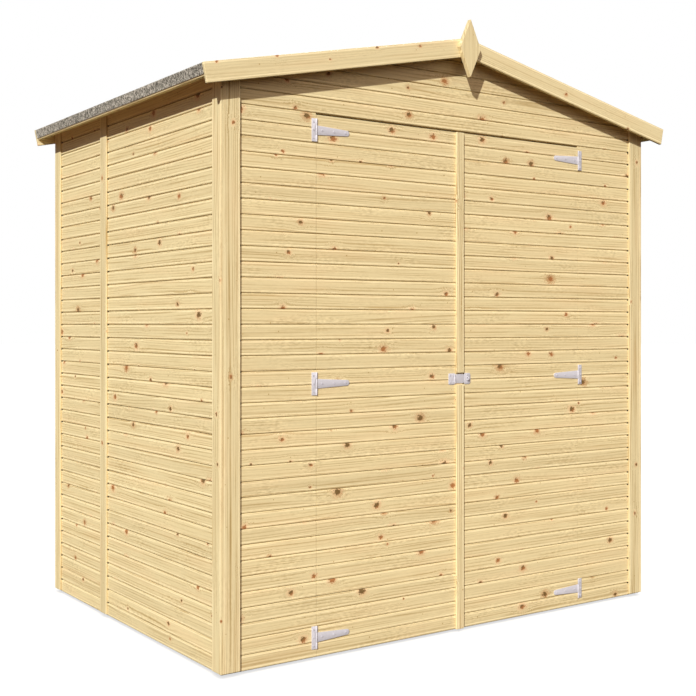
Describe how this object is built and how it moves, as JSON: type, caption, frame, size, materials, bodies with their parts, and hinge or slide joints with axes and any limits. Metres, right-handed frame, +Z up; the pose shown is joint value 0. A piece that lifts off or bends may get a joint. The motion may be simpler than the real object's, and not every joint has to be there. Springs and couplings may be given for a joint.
{
  "type": "wooden garden shed",
  "caption": "Apex-roofed shed of horizontal V-jointed pine boards with hinged double doors in the front gable, corner trims, barge boards, a diamond finial and a felted roof.",
  "frame": {"origin": "on the ground below the middle of the shed's box", "axes": "+Z up, -Y out of the doors, +X to the right of someone facing the doors"},
  "size_m": [2.116, 1.517, 2.1966],
  "materials": {
    "pine_cladding": "planed, untreated",
    "planed_trim": "planed, untreated",
    "sawn_framing": "sawn",
    "plain_boards": "planed, untreated",
    "mineral_felt": "mineral grit",
    "zinc_fittings": "zinc plated"
  },
  "bodies": {
    "shed": {"floor_bearers": "sawn_framing", "floor_deck": "plain_boards", "front_left_wall": "pine_cladding", "front_right_wall": "pine_cladding", "front_gable": "pine_cladding", "left_front_panel": "pine_cladding", "left_rear_panel": "pine_cladding", "right_front_panel": "pine_cladding", "right_rear_panel": "pine_cladding", "back_left_panel": "pine_cladding", "back_right_panel": "pine_cladding", "side_wall_posts": "sawn_framing", "side_wall_rails": "sawn_framing", "gable_wall_posts": "sawn_framing", "gable_wall_rails": "sawn_framing", "cover_strips": "planed_trim", "side_corner_trims": "planed_trim", "gable_corner_trims": "planed_trim", "left_roof_deck": "plain_boards", "right_roof_deck": "plain_boards", "ridge_purlin": "sawn_framing", "eaves_battens": "sawn_framing", "front_left_barge": "planed_trim", "front_right_barge": "planed_trim", "rear_left_barge": "planed_trim", "rear_right_barge": "planed_trim", "finial": "planed_trim", "left_roof_felt": "mineral_felt", "right_roof_felt": "mineral_felt", "ridge_felt": "mineral_felt", "hinge_flanges": "zinc_fittings"},
    "left_door": {"left_door_leaf": "pine_cladding", "left_door_ledges": "sawn_framing", "left_door_braces": "sawn_framing", "left_hinge_straps": "zinc_fittings", "meeting_strip": "planed_trim", "hasp_plate": "zinc_fittings"},
    "right_door": {"right_door_leaf": "pine_cladding", "right_door_ledges": "sawn_framing", "right_door_braces": "sawn_framing", "right_hinge_straps": "zinc_fittings", "hasp_keeper": "zinc_fittings"}
  },
  "joints": [
    {"name": "left_door_hinge", "type": "hinge", "parent": "shed", "child": "left_door", "pos_m": [-0.613, -0.6915, 0.91], "axis": [0, 0, -1], "range_deg": [0, 170]},
    {"name": "right_door_hinge", "type": "hinge", "parent": "shed", "child": "right_door", "pos_m": [0.613, -0.6915, 0.91], "axis": [0, 0, 1], "range_deg": [0, 170]}
  ]
}
